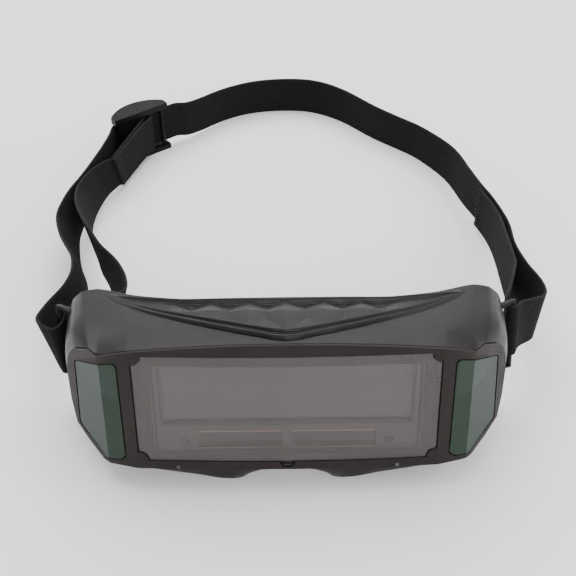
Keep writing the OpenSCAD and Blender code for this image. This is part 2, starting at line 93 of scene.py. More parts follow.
# ---- Materials -------------------------------------------------------------------------
class Mat:
    """A small builder for procedural materials."""

    def __init__(self, name, coord="Object"):
        self.m = bpy.data.materials.new(name)
        self.m.use_nodes = True
        self.t = self.m.node_tree
        self.bsdf = next(n for n in self.t.nodes if n.type == "BSDF_PRINCIPLED")
        self.co = self.t.nodes.new("ShaderNodeTexCoord").outputs[coord]

    def set(self, **values):
        for k, v in values.items():
            self.bsdf.inputs[k.replace("_", " ")].default_value = v
        return self

    def scaled(self, sx, sy, sz):
        n = self.t.nodes.new("ShaderNodeMapping")
        n.inputs["Scale"].default_value = (sx, sy, sz)
        self.t.links.new(self.co, n.inputs["Vector"])
        return n.outputs["Vector"]

    def noise(self, scale, detail=3, rough=0.55, vector=None, distortion=0.0):
        n = self.t.nodes.new("ShaderNodeTexNoise")
        n.inputs["Scale"].default_value = scale
        n.inputs["Detail"].default_value = detail
        n.inputs["Roughness"].default_value = rough
        n.inputs["Distortion"].default_value = distortion
        self.t.links.new(vector or self.co, n.inputs["Vector"])
        return n.outputs["Fac"]

    def cells(self, scale):
        n = self.t.nodes.new("ShaderNodeTexVoronoi")
        n.inputs["Scale"].default_value = scale
        self.t.links.new(self.co, n.inputs["Vector"])
        return n.outputs["Distance"]

    def wave(self, scale, direction, distortion=0.0, profile="SIN"):
        n = self.t.nodes.new("ShaderNodeTexWave")
        n.bands_direction = direction
        n.wave_profile = profile
        n.inputs["Scale"].default_value = scale
        n.inputs["Distortion"].default_value = distortion
        self.t.links.new(self.co, n.inputs["Vector"])
        return n.outputs["Fac"]

    def ramp(self, fac, stops):
        n = self.t.nodes.new("ShaderNodeValToRGB")
        while len(n.color_ramp.elements) < len(stops):
            n.color_ramp.elements.new(0.5)
        for e, (pos, c) in zip(n.color_ramp.elements, stops):
            e.position = pos
            e.color = (*c, 1)
        self.t.links.new(fac, n.inputs["Fac"])
        return n.outputs["Color"]

    def remap(self, fac, a, b, c, d):
        n = self.t.nodes.new("ShaderNodeMapRange")
        for i, v in enumerate((a, b, c, d)):
            n.inputs[i + 1].default_value = v
        self.t.links.new(fac, n.inputs[0])
        return n.outputs[0]

    def math(self, op, a, b):
        n = self.t.nodes.new("ShaderNodeMath")
        n.operation = op
        for i, v in enumerate((a, b)):
            if isinstance(v, (int, float)):
                n.inputs[i].default_value = v
            else:
                self.t.links.new(v, n.inputs[i])
        return n.outputs[0]

    def mix(self, fac, a, b):
        n = self.t.nodes.new("ShaderNodeMix")
        n.data_type = "RGBA"
        for sock, v in ((n.inputs[0], fac), (n.inputs[6], a), (n.inputs[7], b)):
            if isinstance(v, tuple):
                sock.default_value = (*v, 1)
            else:
                self.t.links.new(v, sock)
        return n.outputs[2]

    def to(self, name, socket):
        self.t.links.new(socket, self.bsdf.inputs[name])
        return self

    def mottled(self, scale, detail, a, b):
        """Base colour that drifts between a and b."""
        return self.to("Base Color", self.ramp(self.noise(scale, detail), [(0.3, a), (0.7, b)]))

    def bump(self, height, strength, distance):
        n = self.t.nodes.new("ShaderNodeBump")
        n.inputs["Strength"].default_value = strength
        n.inputs["Distance"].default_value = distance
        self.t.links.new(height, n.inputs["Height"])
        if self.bsdf.inputs["Normal"].links:
            self.t.links.new(self.bsdf.inputs["Normal"].links[0].from_socket, n.inputs["Normal"])
        self.t.links.new(n.outputs["Normal"], self.bsdf.inputs["Normal"])
        return self


def plastic(name, dark, light, rough, grain=900, depth=0.00004, spread=0.08, spec=0.5, scratch=0.1):
    """Moulded plastic: faint mottling, a fine spark-eroded grain and a few hairline scuffs."""
    m = Mat(name).set(Roughness=rough)
    m.bsdf.inputs["Specular IOR Level"].default_value = spec
    m.mottled(45, 4, dark, light)
    scuff = m.noise(260, 2, vector=m.scaled(1, 0.06, 0.5), distortion=0.6)
    worn = m.remap(scuff, 0.6, 0.75, 0, scratch)
    m.to("Roughness", m.math("ADD", m.remap(m.noise(120, 5), 0.3, 0.7, rough - spread, rough + spread), worn))
    m.bump(m.cells(grain), 0.35, depth)
    m.bump(m.noise(2600, 2), 0.25, depth)
    return m


MATS = {}
MATS["frame"] = plastic("frame_satin_black", (0.0100, 0.0086, 0.0087), (0.0140, 0.0121, 0.0123),
                        0.38, grain=1500, spec=0.24, scratch=0.12).m
MATS["bezel"] = plastic("bezel_black", (0.0100, 0.0062, 0.0058), (0.0150, 0.0098, 0.0092),
                        0.36, grain=1900, depth=0.00003, spec=0.18).m
MATS["slider"] = plastic("slider_black", (0.0035, 0.0034, 0.0034), (0.0062, 0.0060, 0.0060),
                         0.46, grain=1300, spec=0.13).m
MATS["cartridge"] = plastic("cartridge_black", (0.100, 0.088, 0.088), (0.115, 0.102, 0.102),
                            0.45, grain=2200, depth=0.00002, spec=0.3).m
MATS["retainer"] = plastic("retainer_black", (0.018, 0.018, 0.019), (0.03, 0.03, 0.031),
                           0.5, grain=1500).m


def webbing_material(name, dark, light, edge):
    """Ribbed elastic: weft picks across the band, twisted ribs, fuzz, and a painted highlight of paler colour
    along both edges.
    """
    m = Mat(name, coord="UV").set(Roughness=0.88)
    m.bsdf.inputs["Specular IOR Level"].default_value = 0.12
    m.set(Sheen_Weight=0.03, Sheen_Roughness=0.45)
    m.bsdf.inputs["Sheen Tint"].default_value = (0.75, 0.68, 0.66, 1)
    picks = m.wave(330, "X", 1.2)
    rib = m.wave(WIDTH * 11.2, "Y", 0.15)
    tufts = m.noise(1500, 3, vector=m.scaled(1, 0.35, 1))
    tone = m.math("MULTIPLY", m.math("ADD", picks, rib), 0.42)
    tone = m.math("ADD", tone, m.remap(tufts, 0.3, 0.7, -0.12, 0.16))
    base = m.ramp(tone, [(0.15, dark), (0.95, light)])
    split = m.t.nodes.new("ShaderNodeSeparateXYZ")
    m.t.links.new(m.co, split.inputs[0])
    from_mid = m.math("ABSOLUTE", m.math("SUBTRACT", split.outputs["Y"], WIDTH * 0.5 * MM), 0)
    # both edges are painted paler: a painted highlight along the band's edges
    edge_highlight = m.remap(from_mid, (WIDTH * 0.5 - 1.1) * MM, (WIDTH * 0.5 - 0.35) * MM, 0, 1)
    m.to("Base Color", m.mix(edge_highlight, base, edge))
    m.to("Roughness", m.remap(tufts, 0.3, 0.7, 0.78, 0.98))
    m.bump(picks, 0.55, 0.00018)
    m.bump(tufts, 0.5, 0.00012)
    return m.m


# edge is the colour of the painted highlight along both edges of the band
MATS["strap"] = webbing_material("strap_elastic_black", dark=(0.0040, 0.0038, 0.0040),
                                 light=(0.0150, 0.0134, 0.0134), edge=(0.017, 0.0155, 0.0150))
thread = Mat("thread_black").set(Roughness=0.75, Sheen_Weight=0.05)
thread.to("Base Color", thread.ramp(thread.wave(2500, "DIAGONAL", 2),
                                    [(0, (0.004, 0.004, 0.004)), (1, (0.018, 0.017, 0.0165))]))
thread.bump(thread.wave(2500, "DIAGONAL", 2), 0.6, 0.0001)
MATS["thread"] = thread.m


def clear(name, tint, alpha, rough, haze, coat=0.35, spec=0.5):
    """Moulded clear sheet: a faint veil of haze, smears and hair scratches."""
    m = Mat(name).set(Roughness=rough, IOR=1.5)
    m.bsdf.inputs["Specular IOR Level"].default_value = spec
    m.set(Coat_Weight=coat, Coat_Roughness=0.03)
    smear = m.noise(38, 5, distortion=1.2)
    m.to("Base Color", m.ramp(smear, [(0.25, tint), (0.75, tuple(min(1, c * 1.14) for c in tint))]))
    m.to("Roughness", m.remap(m.noise(90, 4), 0.3, 0.7, rough * 0.6, rough * 1.6))
    hair = m.noise(700, 2, vector=m.scaled(1, 0.05, 0.08), distortion=0.5)
    veil = m.remap(smear, 0.3, 0.7, alpha - haze, alpha + haze)
    m.to("Alpha", m.math("ADD", veil, m.remap(hair, 0.68, 0.8, 0, 0.05)))
    m.bump(m.noise(22, 2), 0.06, 0.0002)
    return m.m


MATS["cover"] = clear("cover_lens_clear", (0.116, 0.098, 0.099), 0.34, 0.10, 0.004, coat=0.20, spec=0.40)
MATS["inner"] = clear("inner_lens_clear", (0.55, 0.55, 0.56), 0.18, 0.05, 0.02)
MATS["window"] = clear("side_window_green", (0.0022, 0.0165, 0.0075), 0.90, 0.06, 0.02, coat=0.06, spec=0.30)

foam = Mat("gasket_foam").set(Roughness=0.95)
foam.to("Base Color", foam.ramp(foam.cells(1400), [(0, (0.006, 0.006, 0.006)), (0.6, (0.04, 0.04, 0.04))]))
foam.bump(foam.cells(1400), 0.8, 0.0002)
MATS["foam"] = foam.m

filt = Mat("filter_glass").set(Roughness=0.06, Coat_Weight=0.6)
filt.mottled(14, 3, (0.100, 0.084, 0.085), (0.110, 0.093, 0.094))
filt.to("Roughness", filt.remap(filt.noise(60, 4), 0.3, 0.7, 0.04, 0.12))
MATS["filter"] = filt.m
shut = Mat("shutter_glass").set(Roughness=0.1)
shut.mottled(20, 3, (0.05, 0.06, 0.06), (0.07, 0.085, 0.08))
MATS["shutter"] = shut.m
board = Mat("board_green").set(Roughness=0.4)
tracks = board.wave(420, "X", 0, profile="SAW")
board.to("Base Color", board.mix(board.remap(tracks, 0.8, 0.82, 0, 1),
                                 (0.01, 0.075, 0.03), (0.03, 0.14, 0.06)))
board.bump(tracks, 0.3, 0.0001)
MATS["board"] = board.m
solar = Mat("solar_dark").set(Roughness=0.18, Coat_Weight=0.4)
bars = solar.wave(165, "X", 0, profile="SAW")
mottle = solar.noise(200, 3)
bar_lines = solar.remap(bars, 0.93, 0.96, 0, 1)
silicon = solar.ramp(mottle, [(0.3, (0.005, 0.004, 0.004)), (0.7, (0.008, 0.0065, 0.007))])
solar.to("Base Color", solar.mix(bar_lines, silicon, (0.026, 0.020, 0.019)))
MATS["solar"] = solar.m
copper = Mat("solar_contact").set(Metallic=0.6, Roughness=0.35)
copper.mottled(500, 3, (0.48, 0.30, 0.20), (0.62, 0.42, 0.29))
MATS["contact"] = copper.m
sens = Mat("sensor_window").set(Roughness=0.12, Coat_Weight=0.5)
sens.mottled(300, 2, (0.020, 0.018, 0.016), (0.032, 0.029, 0.026))
MATS["sensor"] = sens.m


def metal(name, a, b, rough):
    m = Mat(name).set(Metallic=1.0, Roughness=rough)
    m.mottled(160, 4, a, b)
    brushed = m.noise(900, 2, vector=m.scaled(1, 0.1, 1))
    m.to("Roughness", m.remap(brushed, 0.3, 0.7, rough - 0.1, rough + 0.12))
    m.bump(m.noise(1400, 2), 0.2, 0.00003)
    return m.m


MATS["steel"] = metal("screw_steel", (0.075, 0.072, 0.070), (0.12, 0.115, 0.11), 0.45)
MATS["battery"] = metal("battery_steel", (0.5, 0.5, 0.5), (0.66, 0.66, 0.65), 0.28)
# flat dark colour: painted shade for the lines on the cartridge's face, and the dark band along the darkening
# window's lower edge
recess = Mat("filter_recess").set(Roughness=0.6)
recess.mottled(300, 3, (0.005, 0.0045, 0.0045), (0.009, 0.008, 0.008))
MATS["recess"] = recess.m


# ---- Hard parts: the CAD shapes with rounded edges ---------------------------------------
def softened(node, body, mat, width, segments=2, angle=32):
    """A copy of a CAD node's shape with its edges rounded."""
    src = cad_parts[node]
    bm = bmesh.new()
    bm.from_mesh(src.data)
    bmesh.ops.remove_doubles(bm, verts=bm.verts, dist=2e-6)
    bmesh.ops.dissolve_limit(bm, angle_limit=math.radians(0.8), verts=bm.verts, edges=bm.edges)
    mesh = bpy.data.meshes.new(node + "_look")
    bm.to_mesh(mesh)
    bm.free()
    mesh.materials.append(mat)
    mesh.polygons.foreach_set("use_smooth", [True] * len(mesh.polygons))
    ob = bpy.data.objects.new(mesh.name, mesh)
    bpy.context.scene.collection.objects.link(ob)
    bevel = ob.modifiers.new("bevel", "BEVEL")
    bevel.width = width * MM
    bevel.segments = segments
    bevel.limit_method = "ANGLE"
    bevel.angle_limit = math.radians(angle)
    bevel.use_clamp_overlap = True
    bevel.miter_outer = "MITER_ARC"
    bevel.harden_normals = False
    wn = ob.modifiers.new("weighted", "WEIGHTED_NORMAL")
    wn.keep_sharp = True
    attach(ob, body)
    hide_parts(node)
    return ob


softened("front_bezel", "goggles", MATS["bezel"], 0.42, 3)
cover = softened("cover_lens", "outer_lens", MATS["cover"], 0.22, 2)
COVER_FIT = 0.9955                      # drawn a little narrower than the CAD's
for vert in cover.data.vertices:
    vert.co.x *= COVER_FIT
PANE_FIT_X, PANE_FIT_Z = 0.965, 0.985   # leaves a dark gap all round a side window
for side in ("left", "right"):
    pane = softened("side_window_" + side, "goggles", MATS["window"], 0.3, 3, angle=20)
    spots = np.array([vert.co[:] for vert in pane.data.vertices])
    middle = (spots.min(0) + spots.max(0)) / 2
    for vert in pane.data.vertices:
        vert.co.x = middle[0] + (vert.co.x - middle[0]) * PANE_FIT_X
        vert.co.z = middle[2] + (vert.co.z - middle[2]) * PANE_FIT_Z
softened("filter_gasket", "goggles", MATS["foam"], 0.2)
softened("filter_case_front", "goggles", MATS["cartridge"], 0.4, 3)
softened("filter_case_rear", "goggles", MATS["cartridge"], 0.4, 3)
softened("infrared_filter", "goggles", MATS["filter"], 0.15)
softened("shutter_cell_front", "goggles", MATS["shutter"], 0.15)
softened("shutter_cell_rear", "goggles", MATS["shutter"], 0.15)
softened("circuit_board", "goggles", MATS["board"], 0.1)
softened("light_sensor_left", "goggles", MATS["sensor"], 0.5, 4)
softened("light_sensor_right", "goggles", MATS["sensor"], 0.5, 4)
softened("battery_left", "goggles", MATS["battery"], 0.4, 3)
softened("battery_right", "goggles", MATS["battery"], 0.4, 3)
softened("lens_retainer", "inner_lens", MATS["retainer"], 0.35)
softened("inner_cover_lens", "inner_lens", MATS["inner"], 0.15)
softened("bezel_screws", "goggles", MATS["steel"], 0.15)
softened("strap_slider", "slider", MATS["slider"], 0.9, 4)
softened("solar_cell_left", "goggles", MATS["solar"], 0.1)
softened("solar_cell_right", "goggles", MATS["solar"], 0.1)


def box_mesh(x0, x1, y0, y1, z0, z1):
    v = [(x, y, z) for x in (x0, x1) for y in (y0, y1) for z in (z0, z1)]
    f = [(0, 1, 3, 2), (4, 6, 7, 5), (0, 4, 5, 1), (2, 3, 7, 6), (0, 2, 6, 4), (1, 5, 7, 3)]
    return v, f


def join(parts):
    verts, faces = [], []
    for v, f in parts:
        n = len(verts)
        verts += list(v)
        faces += [tuple(i + n for i in q) for q in f]
    return verts, faces


CASE_Y = 4.45                           # front face of the cartridge, goggle depth
SOLAR_X, SOLAR_Z, SOLAR_HALF_W = 20.6, -19.6, 18.1
CONTACT_Z, CONTACT_HALF = 4.3, 0.22     # contact strips, off the middle of the cell
WINDOW_Y = CASE_Y + 1.98                # just in front of the darkening window's pane
SHEET = 0.10                            # thickness of the contact strips and the band
WINDOW_Z0, WINDOW_HALF_W = -13.0, 53.8
BAND_Z0, BAND_Z1 = 0.2, 3.1             # dark band, above the window's lower edge
# contact strips along both long edges of each solar cell, and the band under the darkening window
strips = []
for s in (-1, 1):
    for z in (SOLAR_Z - CONTACT_Z, SOLAR_Z + CONTACT_Z):
        v, f = box_mesh(s * SOLAR_X - SOLAR_HALF_W, s * SOLAR_X + SOLAR_HALF_W,
                        CASE_Y + 0.02, CASE_Y + 0.02 + SHEET, z - CONTACT_HALF, z + CONTACT_HALF)
        strips.append((on_face(v), f))
v, f = box_mesh(-WINDOW_HALF_W, WINDOW_HALF_W, WINDOW_Y, WINDOW_Y + SHEET,
                WINDOW_Z0 + BAND_Z0, WINDOW_Z0 + BAND_Z1)
new_object("filter_border", on_face(v), f, MATS["recess"], "goggles", smooth=False)


def rounded_loop(w, h, r, z, y, steps=8):
    """Outline of a rounded rectangle w by h at depth y, its middle at height z."""
    pts = []
    for cx, cz, a0 in ((1, 1, 0), (-1, 1, 90), (-1, -1, 180), (1, -1, 270)):
        for k in range(steps + 1):
            a = math.radians(a0 + 90 * k / steps)
            pts.append((cx * (w / 2 - r) + r * math.cos(a), y, z + cz * (h / 2 - r) + r * math.sin(a)))
    return pts


def ring_strip(w, h, r, z, y, line):
    """A flat line along a rounded rectangle; line is its width."""
    inner = rounded_loop(w - line, h - line, r - line / 2, z, y)
    outer = rounded_loop(w + line, h + line, r + line / 2, z, y)
    m = len(inner)
    verts = [(x, y - 0.04, up) for x, _, up in inner + outer]
    return on_face(verts), [(k, (k + 1) % m, m + (k + 1) % m, m + k) for k in range(m)]


# painted shade on the cartridge's face: flat dark lines standing in for the shade of grooves, one round its
# rim, one round the darkening window
groove_shade_lines = [ring_strip(114.6, 47.2, 3.2, -2.2, CASE_Y, 1.0), ring_strip(109.4, 30.0, 1.6, 3.5, CASE_Y, 0.5)]
v, f = join(groove_shade_lines)
new_object("cartridge_groove_shade_lines", v, f, MATS["recess"], "goggles", smooth=False)
v, f = join(strips)
new_object("solar_contacts", v, f, MATS["contact"], "goggles", smooth=False)


# ---- The frame's shell -------------------------------------------------------------------
def front_y(x):
    """Depth of the goggles' front: bowed forward over the lens, swept back at the sides."""
    a = np.abs(x)
    wing = np.where(a < 79, 4 * (a - 66) / 13, 4 + (a - 79) * 16 / 17)
    return np.where(a < 66, -2.4 * (1 - (a / 66) ** 2), wing)


def seat_y(x):
    """Depth at which the shell meets the bezel."""
    return front_y(x) + 1.2


# half outlines of the shell from the nose round to the brow, each point [across, depth, up] in mm;
# FRONT's depths count from seat_y
FRONT = [[0, 0, -32.3], [12, 0.3, -32.8], [17, 1.8, -35.8], [20.5, 4.2, -40], [24, 6.2, -42.1],
         [30, 6.2, -41.9], [40, 4.2, -38.4], [52, 2, -35], [66, 1.2, -32.4], [77, 0, -31.4],
         [82, 0, -31.1], [89, 0, -25.6], [94.8, 0, -19.6], [96.4, 0, -8], [96.8, 0, 6],
         [95.6, 0, 14.4], [91, 0, 20.9], [83.5, 0, 24.9], [80, 0, 24], [66.5, 0, 28.2],
         [65.5, 0, 28.4], [45, 0, 30.6], [22, 0, 32.1], [0, 0, 32.5]]
MID = [[0, 16, -31.2], [12, 16, -31.5], [17, 15.5, -34], [20.5, 14.5, -38.5], [25, 12.5, -41.9],
       [33, 13, -41.9], [43, 15.5, -39.6], [56, 17, -37.4], [69, 19, -35.6], [80, 20, -33.6],
       [88, 24, -28.5], [94, 28, -21.5], [97.4, 30, -12], [98.8, 31, 0], [99.2, 31, 10],
       [97.8, 30, 18.5], [94, 28, 25], [88.5, 25, 28.2], [80, 21, 29.2], [67.5, 17.2, 30.4],
       [66, 17, 30.5], [46, 16, 32], [23, 15, 33], [0, 15, 33.2]]
REAR = [[0, 34, -14], [10, 34.5, -15.5], [18, 35.5, -20], [24, 37, -27], [31, 39.5, -32.8],
        [40, 42, -35], [52, 44.5, -34.6], [63, 46.5, -34.1], [74, 48, -33.3], [84, 49.5, -31.5],
        [92, 50.5, -27], [97, 51, -20.5], [99.6, 51, -11], [100.6, 51, 1], [100.8, 51, 12],
        [99.9, 51, 20], [97.6, 50.8, 26.3], [93, 50.3, 30.4], [86, 49.4, 32.2], [71, 45, 31.6],
        [69, 44.4, 31.5], [47, 40.4, 31.4], [24, 40, 31.8], [0, 40, 31.9]]


def loop_of(half):
    """A half outline and its mirror image, as one closed ring."""
    h = np.array(half, float)
    m = h[-2:0:-1] * [-1, 1, 1]
    return np.vstack([h, m])


def catmull(a, b, c, d, t):
    """Catmull-Rom curve from b to c, with a and d as their neighbours."""
    return 0.5 * (2 * b + (c - a) * t + (2 * a - 5 * b + 4 * c - d) * t * t
                  + (3 * b - a - 3 * c + d) * t ** 3)


def spline_loop(ring, u, crisp=0.5):
    """Points at parameters u on a closed ring: a smooth curve, mixed with its straight sides."""
    n = len(ring)
    i = np.floor(u).astype(int)
    t = (u - i)[:, None]
    a, b, c, d = (ring[(i + k) % n] for k in (-1, 0, 1, 2))
    # tangents weighted by the distances, so that uneven spacing doesn't overshoot
    lb = np.linalg.norm(b - a, axis=1)[:, None]
    lc = np.linalg.norm(c - b, axis=1)[:, None]
    ld = np.linalg.norm(d - c, axis=1)[:, None]
    m1 = lc * ((b - a) / lb * lc + (c - b) / lc * lb) / (lb + lc)
    m2 = lc * ((c - b) / lc * ld + (d - c) / ld * lc) / (lc + ld)
    t2, t3 = t * t, t * t * t
    curved = (2 * t3 - 3 * t2 + 1) * b + (t3 - 2 * t2 + t) * m1 + (-2 * t3 + 3 * t2) * c + (t3 - t2) * m2
    return curved * (1 - crisp) + (b + (c - b) * t) * crisp


# the swept ribs on the brow run between these two lines, as (across, depth) in mm
OUTER_LINE = np.array([(0, 1.9), (6, 3.1), (10, 4.7), (21, 8.3), (32, 13), (45, 19.5), (60, 28),
                       (73, 36.5), (82, 43.5)])
INNER_LINE = np.array([(0, 9.4), (6, 10.2), (11, 11.8), (21, 15.4), (32, 19.9), (43, 24.8), (55, 30.3),
                       (66, 36.2), (82, 43.8)])
# place between the lines, half width in the same measure, and height or depth in mm
STRANDS = ((0.22, 0.15, 1.15), (0.56, 0.09, 0.55), (0.86, 0.13, 1.15))
GROOVES = ((0.0, 0.09, 1.4), (0.42, 0.08, 1.3), (0.68, 0.07, 1.3), (1.06, 0.10, 1.6))
LOZENGE_PITCH = 16.7


def smoothstep(x, a, b):
    t = np.clip((x - a) / (b - a), 0, 1)
    return t * t * (3 - 2 * t)


def brow_relief(x, y):
    """Height of the moulded relief on the brow: swept ribs, a quilt of lozenges, a rim line."""
    a = np.abs(x)
    o = np.interp(a, OUTER_LINE[:, 0], OUTER_LINE[:, 1])
    i = np.interp(a, INNER_LINE[:, 0], INNER_LINE[:, 1])
    ends = 1 - smoothstep(a, 76, 84)
    fan = 0.45 + 0.55 * (1 - smoothstep(a, 30, 78))
    t = (y - o) / np.maximum(i - o, 1.6)
    h = np.zeros_like(t)
    # three raised strands, with deep grooves in front of, between and behind them
    for at, wide, high in STRANDS:
        h += high * np.exp(-np.abs((t - at) / wide) ** 2.6)
    for at, wide, deep in GROOVES:
        h -= deep * np.exp(-((t - at) / wide) ** 2)
    h = h * ends * fan
    # the field behind the ribs is sunk, and quilted with lozenges
    back = 37.6 + 0.0009 * a * a
    field = smoothstep(y - i, 0.8, 2.2) * (1 - smoothstep(y - back, -1.4, -0.5)) * (1 - smoothstep(a, 60, 76))
    fx = (a + LOZENGE_PITCH / 2) % LOZENGE_PITCH - LOZENGE_PITCH / 2
    k = np.round(a / LOZENGE_PITCH)
    yc = 27.0 + 0.6 * k
    rho = np.abs(fx) / (LOZENGE_PITCH / 2) + np.abs(y - yc) / (9.6 - 0.9 * k)
    quilt = np.clip(1.0 - rho, 0, 1)
    gap = np.clip(rho - 1.0, 0, 0.6)
    fade = 1 - smoothstep(a, 44, 56)
    h += field * (-0.7 + fade * (0.85 * quilt ** 0.8 - 1.5 * gap))
    # rim line along the rear edge
    h += 0.75 * np.exp(-np.abs((y - back - 0.2) / 0.75) ** 3) * (1 - smoothstep(a, 72, 82))
    h -= 0.5 * np.exp(-((y - back + 1.2) / 0.5) ** 2) * (1 - smoothstep(a, 70, 80))
    return h


ROWS = 128                              # grid rows from the shell's front to its rear
BROW_COLUMN, COLUMN = 0.42, 1.3         # mm between grid columns, over the brow and elsewhere
WALL = 2.2
PLUG_BOTTOM = -28.9
LEDGE = 2.2                             # depth of the straight wall round the bezel's plug


def frame_shell():
    """The frame as one closed skin: outside, rear lip, inside and the wall round the plug."""
    rings = [loop_of(r) for r in (FRONT, MID, REAR)]
    rings[0][:, 1] += seat_y(rings[0][:, 0])
    n = len(rings[0])
    # finer columns over the brow
    u = []
    for k in range(n):
        seg = np.linalg.norm(rings[2][(k + 1) % n] - rings[2][k])
        top = rings[0][k][2] > 23 and rings[0][(k + 1) % n][2] > 23
        steps = max(4, int(seg / (BROW_COLUMN if top else COLUMN)))
        u += [k + j / steps for j in range(steps)]
    u = np.array(u)
    f, m, r = (spline_loop(q, u) for q in rings)
    v = np.linspace(0, 2, ROWS)
    grid = np.empty((ROWS, len(u), 3))
    g0, g3 = f + 0.7 * (f - m), r + 0.7 * (r - m)
    for q, t in enumerate(v):
        a, b, c, d, s = (g0, f, m, r, t) if t <= 1 else (f, m, r, g3, t - 1)
        grid[q] = catmull(a, b, c, d, s)
    # outward normals
    du = np.roll(grid, -1, 1) - np.roll(grid, 1, 1)
    dv = np.gradient(grid, axis=0)
    nrm = np.cross(du, dv)
    nrm /= np.linalg.norm(nrm, axis=2)[..., None] + 1e-12
    centre = np.array([0, 25, 0])
    if ((grid - centre) * nrm).sum(2).mean() < 0:
        nrm = -nrm
    top = smoothstep(nrm[..., 2], 0.72, 0.9) * smoothstep(grid[..., 2], 24, 28)
    edge = smoothstep(v, 0.02, 0.08)[:, None] * (1 - smoothstep(v, 1.93, 1.985)[:, None])
    h = brow_relief(grid[..., 0], grid[..., 1]) * top * edge
    # the front edge turns in a little, so that a parting line shows against the bezel
    h -= 0.6 * (1 - smoothstep(v, 0.0, 0.04))[:, None]
    outer = grid + nrm * h[..., None]
    layers = list(outer)
    # rounded rear lip
    flow = dv[-1] / (np.linalg.norm(dv[-1], axis=1)[:, None] + 1e-12)
    for a in np.linspace(0.2, math.pi - 0.2, 7):
        layers.append(grid[-1] - nrm[-1] * WALL / 2 * (1 - math.cos(a)) + flow * 0.55 * math.sin(a))
    for q in range(ROWS - 1, 9, -3):
        layers.append(grid[q] - nrm[q] * WALL)
    # the front face, closed down to the bezel's plug
    plug = grid[0] - nrm[0] * WALL
    plug[:, 2] = np.maximum(plug[:, 2], PLUG_BOTTOM)
    for back in (LEDGE, 0.0):
        ring = plug.copy()
        ring[:, 1] = seat_y(ring[:, 0]) + back
        layers.append(ring)
    layers = [on_face(q) for q in layers]
    pts = np.array(layers)
    pts[..., 2] = np.maximum(pts[..., 2], 0.0)
    nl, nu = pts.shape[:2]
    verts = pts.reshape(-1, 3)
    faces = []
    for a in range(nl):
        b = (a + 1) % nl
        for c in range(nu):
            d = (c + 1) % nu
            faces.append((a * nu + c, a * nu + d, b * nu + d, b * nu + c))
    return verts, faces


v, f = frame_shell()
shell = new_object("frame_shell", v, f, MATS["frame"], "goggles", "main_frame")
fix_normals(shell)


def tube(points, radius, sides):
    """A round bar along points; radius may be one number or one per point."""
    p = np.asarray(points, float)
    r = np.broadcast_to(np.asarray(radius, float), (len(p),))
    t = np.gradient(p, axis=0)
    t /= np.linalg.norm(t, axis=1)[:, None] + 1e-12
    ref = np.array([0, 0, 1.0]) if abs(t[0][2]) < 0.9 else np.array([1.0, 0, 0])
    verts, faces = [], []
    for k in range(len(p)):
        a = np.cross(t[k], ref)
        a /= np.linalg.norm(a)
        b = np.cross(t[k], a)
        for j in range(sides):
            w = 2 * math.pi * j / sides
            verts.append(p[k] + r[k] * (math.cos(w) * a + math.sin(w) * b))
    for k in range(len(p) - 1):
        for j in range(sides):
            q, w = k * sides + j, k * sides + (j + 1) % sides
            faces.append((q, w, w + sides, q + sides))
    last = (len(p) - 1) * sides
    faces.append(tuple(range(sides))[::-1])
    faces.append(tuple(last + j for j in range(sides)))
    return verts, faces


# posts that the strap ends wrap, with their arms
POST_TILT = math.radians(8)
POST_X, POST_Y, POST_Z = 105, 50.4, 5.6
POST_LOW, POST_TOP, POST_R = -16.6, 16.4, 1.55
ARMS = ((15.7, -9.0), (-17.1, -4.5))    # height up the post of each arm, and its front corner's depth
ARM_ROOT, ARM_NECK = 97.8, 98.6         # across: in the shell, and where the arm starts to narrow
ARM_W = 5.3
POST_OUTER = 1.6                        # radius of the arm's round end, which the strap clears too


def on_post(p):
    """Coordinates about a post's own axis to the shared frame, mm."""
    p = np.asarray(p, float)
    x, y, z = p[..., 0], p[..., 1], p[..., 2]
    c, s = math.cos(POST_TILT), math.sin(POST_TILT)
    return on_face(np.stack([x, POST_Y + y * c + z * s, POST_Z - y * s + z * c], -1))


def post_arm(s, z, y):
    """A flat arm with softened rims from the shell to the post, on side s."""
    bend = np.linspace(-1.2, 1.6, 9)
    outline = [(POST_X + POST_OUTER * math.cos(w), POST_OUTER * math.sin(w)) for w in bend]
    outline += [(ARM_NECK, y + ARM_W), (ARM_ROOT, y + ARM_W), (ARM_ROOT, y), (ARM_NECK, y)]
    m = len(outline)
    mx = sum(q[0] for q in outline) / m
    my = sum(q[1] for q in outline) / m
    verts, faces = [], []
    for dz, inset in ((0, 0.2), (0.2, 0), (0.9, 0), (1.1, 0.2)):
        for x, yy in outline:
            d = math.hypot(x - mx, yy - my)
            g = (d - inset) / d
            verts.append((s * (mx + (x - mx) * g), my + (yy - my) * g, z + dz))
    for here in (0, m, 2 * m):
        above = here + m
        faces += [(here + j, here + (j + 1) % m, above + (j + 1) % m, above + j) for j in range(m)]
    faces += [tuple(range(m))[::-1], tuple(3 * m + j for j in range(m))]
    return on_post(verts), faces


posts = []
for s in (-1, 1):
    posts.append(tube(on_post([(s * POST_X, 0, z) for z in np.linspace(POST_LOW, POST_TOP, 6)]), POST_R, 20))
    posts += [post_arm(s, z, y) for z, y in ARMS]
v, f = join(posts)
post_ob = new_object("strap_posts", v, f, MATS["slider"], "goggles")
fix_normals(post_ob)


# ---- Strap -------------------------------------------------------------------------------
SLIDER_AT, SLIDER_DIR, SLIDER_H = np.array([-93.0, 274.0]), math.radians(37), 3.8


def along(s, n=0.0):
    """Route x and y of a place s mm along the slider and n mm beside it."""
    c, d = math.cos(SLIDER_DIR), math.sin(SLIDER_DIR)
    return (SLIDER_AT[0] + s * c + n * d, SLIDER_AT[1] + s * d - n * c)


TILT = LEAN + POST_TILT
STRAP_MID = 8.4                         # goggle height of the strap's middle at a post
mid_y = POST_Y + (STRAP_MID - POST_Z) * math.tan(POST_TILT)
